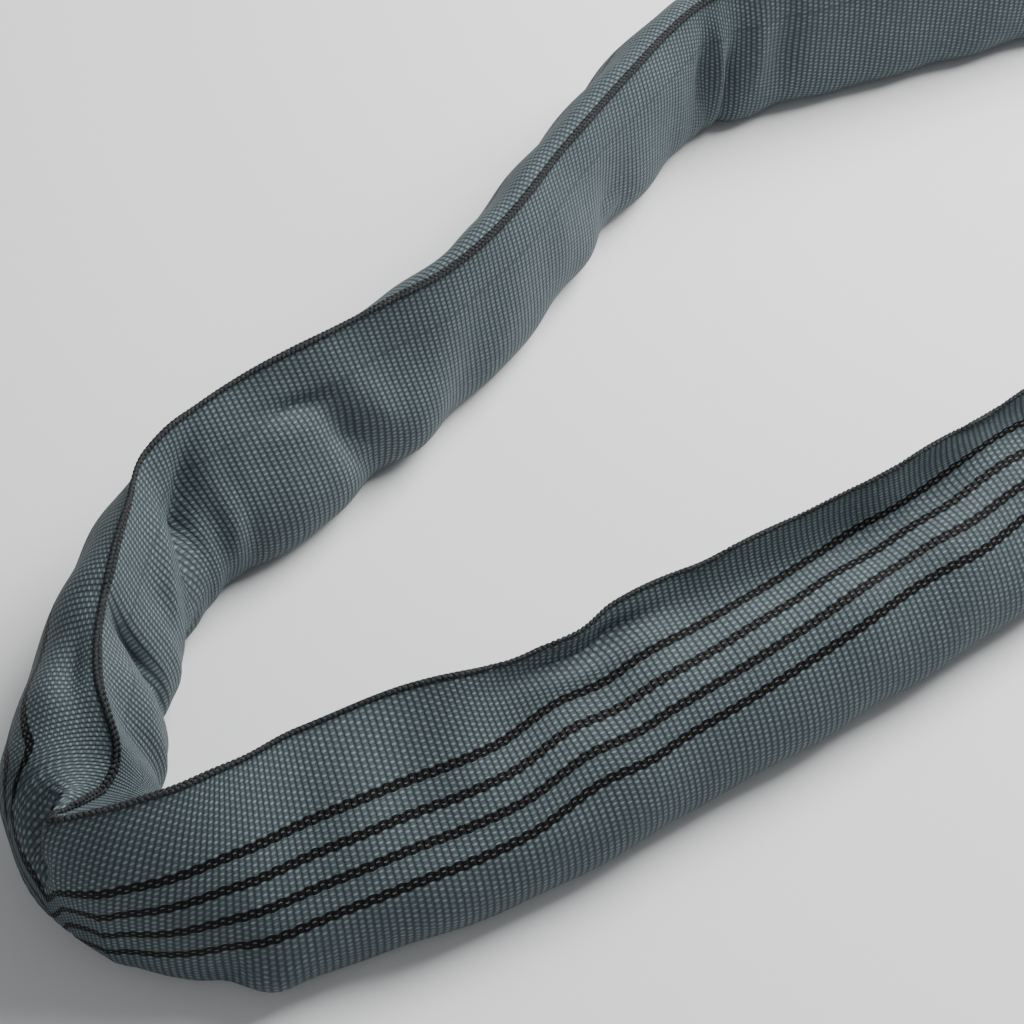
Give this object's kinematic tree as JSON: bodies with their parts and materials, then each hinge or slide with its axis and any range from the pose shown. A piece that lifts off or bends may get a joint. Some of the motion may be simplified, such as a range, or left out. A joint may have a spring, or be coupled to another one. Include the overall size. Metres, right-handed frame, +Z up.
{
  "type": "round sling",
  "caption": "Endless round sling: a woven tubular sleeve with four dark stripes over a yarn core, standing on its edge as a loop, with a sewn closure and a hinged label leaf.",
  "frame": {"origin": "middle of the loop's box, on the surface that the sling stands on", "axes": "+Z up, X along the long way of the loop, -Y towards the leg with the closure and the label"},
  "size_m": [0.9453, 0.2678, 0.06],
  "materials": {
    "sleeve_weave": "plain-woven slate grey polyester, slight sheen",
    "black_warp": "black polyester warp ends woven into the outer face",
    "selvedge_thread": "dark knitted edge thread",
    "core_yarn": "off-white continuous polyester yarn",
    "tape": "plain adhesive tape",
    "seam_thread": "black polyester sewing thread",
    "label": "blue woven polyester label, blank"
  },
  "bodies": {
    "sling": {"sleeve": "sleeve_weave", "stripe_1": "black_warp", "stripe_2": "black_warp", "stripe_3": "black_warp", "stripe_4": "black_warp", "selvedge_thread": "selvedge_thread", "core_yarn_1": "core_yarn", "core_yarn_2": "core_yarn", "core_yarn_3": "core_yarn", "core_yarn_4": "core_yarn", "core_yarn_5": "core_yarn", "core_yarn_6": "core_yarn", "core_yarn_7": "core_yarn", "core_end_tape": "tape", "closure_seam_1": "seam_thread", "closure_seam_2": "seam_thread", "closure_seam_3": "seam_thread", "label_root": "label"},
    "label": {"label_leaf": "label"}
  },
  "joints": [
    {"name": "label_flap", "type": "hinge", "parent": "sling", "child": "label", "pos_m": [0.0255, -0.08664, 0.04288], "axis": [0, -0.6001, -0.7999], "range_deg": [0, 170]}
  ]
}
